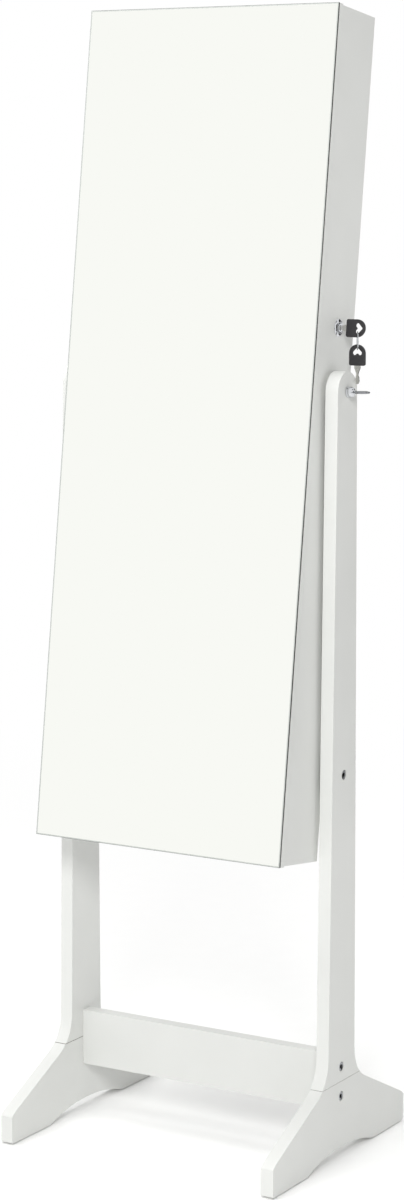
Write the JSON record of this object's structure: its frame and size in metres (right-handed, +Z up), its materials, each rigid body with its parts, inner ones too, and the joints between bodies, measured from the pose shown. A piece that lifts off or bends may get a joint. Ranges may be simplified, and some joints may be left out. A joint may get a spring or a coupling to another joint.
{
  "type": "cheval mirror jewellery cabinet",
  "caption": "Tilting full-length floor mirror whose frame is a shallow lockable jewellery cabinet on a two-legged stand.",
  "frame": {"origin": "on the floor, at the middle of the whole object's outline in plan", "axes": "+Z up, -Y towards the person who looks in the mirror, +X to that person's right, the side of the lock"},
  "size_m": [0.448, 0.363, 1.5001],
  "materials": {
    "white_board": "satin white lacquer on fibreboard",
    "zinc_steel": "zinc-plated",
    "beech": "bare",
    "glide_plastic": "smooth",
    "spacer_plastic": "smooth",
    "chrome": "polished",
    "black_plastic": "fine texture",
    "velvet": "short pile",
    "nickel": "bright nickel",
    "white_plastic": "smooth",
    "mirror": "silvered float glass",
    "key_plastic": "moulded head; the blade is bare nickel silver"
  },
  "bodies": {
    "stand": {"left_upright": "white_board", "left_foot": "white_board", "left_upper_rail_bolt": "zinc_steel", "left_upper_rail_barrel_nut": "zinc_steel", "left_lower_rail_top_bolt": "zinc_steel", "left_lower_rail_top_barrel_nut": "zinc_steel", "left_lower_rail_bottom_bolt": "zinc_steel", "left_lower_rail_bottom_barrel_nut": "zinc_steel", "left_front_dowel": "beech", "left_front_glide": "glide_plastic", "left_rear_dowel": "beech", "left_rear_glide": "glide_plastic", "left_pivot_spacer": "spacer_plastic", "right_upright": "white_board", "right_foot": "white_board", "right_upper_rail_bolt": "zinc_steel", "right_upper_rail_barrel_nut": "zinc_steel", "right_lower_rail_top_bolt": "zinc_steel", "right_lower_rail_top_barrel_nut": "zinc_steel", "right_lower_rail_bottom_bolt": "zinc_steel", "right_lower_rail_bottom_barrel_nut": "zinc_steel", "right_front_dowel": "beech", "right_front_glide": "glide_plastic", "right_rear_dowel": "beech", "right_rear_glide": "glide_plastic", "right_pivot_spacer": "spacer_plastic", "lower_rail": "white_board", "upper_rail": "white_board", "left_pivot_bolt": "zinc_steel"},
    "cabinet": {"left_side_panel": "white_board", "right_side_panel": "white_board", "top_panel": "white_board", "bottom_panel": "white_board", "back_panel": "white_board", "upper_shelf": "white_board", "lower_shelf": "white_board", "left_insert_nut": "zinc_steel", "right_insert_nut": "zinc_steel", "necklace_hook_rail": "black_plastic", "earring_rack": "black_plastic", "ring_cushion": "velvet", "upper_hinge_cabinet_leaf": "nickel", "upper_hinge_pin": "nickel", "lower_hinge_cabinet_leaf": "nickel", "lower_hinge_pin": "nickel", "lock_body": "chrome", "lock_nut": "chrome", "magnet_catch": "white_plastic"},
    "door": {"door_panel": "white_board", "mirror_glass": "mirror", "upper_hinge_door_leaf": "nickel", "lower_hinge_door_leaf": "nickel", "lock_strike": "zinc_steel", "magnet_plate": "zinc_steel"},
    "clamp_screw": {"clamp_screw": "chrome"},
    "lock_plug": {"lock_plug": "chrome", "lock_cam": "zinc_steel"},
    "key": {"key": "key_plastic"},
    "key_ring": {"key_ring": "chrome"},
    "spare_key": {"spare_key": "key_plastic"}
  },
  "joints": [
    {"name": "cabinet_tilt", "type": "hinge", "parent": "stand", "child": "cabinet", "pos_m": [-0.0155, 0, 1.011], "axis": [-1, 0, 0], "range_deg": [0, 30]},
    {"name": "door_swing", "type": "hinge", "parent": "cabinet", "child": "door", "pos_m": [-0.2045, -0.03838, 1.01594], "axis": [0, -0.1278, -0.9918], "range_deg": [0, 110]},
    {"name": "clamp_turn", "type": "hinge", "parent": "stand", "child": "clamp_screw", "pos_m": [0.1985, 0, 1.011], "axis": [1, 0, 0], "range_deg": [0, 360]},
    {"name": "lock_turn", "type": "hinge", "parent": "cabinet", "child": "lock_plug", "pos_m": [0.1705, 0.01877, 1.09096], "axis": [1, 0, 0], "range_deg": [0, 90]},
    {"name": "key_pull", "type": "slide", "parent": "lock_plug", "child": "key", "axis": [1, 0, 0], "range_m": [0, 0.02]},
    {"name": "key_ring_swing", "type": "hinge", "parent": "key", "child": "key_ring", "pos_m": [0.197, 0.01823, 1.08679], "axis": [1, 0, 0], "range_deg": [-25, 25]},
    {"name": "spare_key_swing", "type": "hinge", "parent": "key_ring", "child": "spare_key", "pos_m": [0.197, 0.01823, 1.06379], "axis": [1, 0, 0], "range_deg": [-25, 25]}
  ]
}
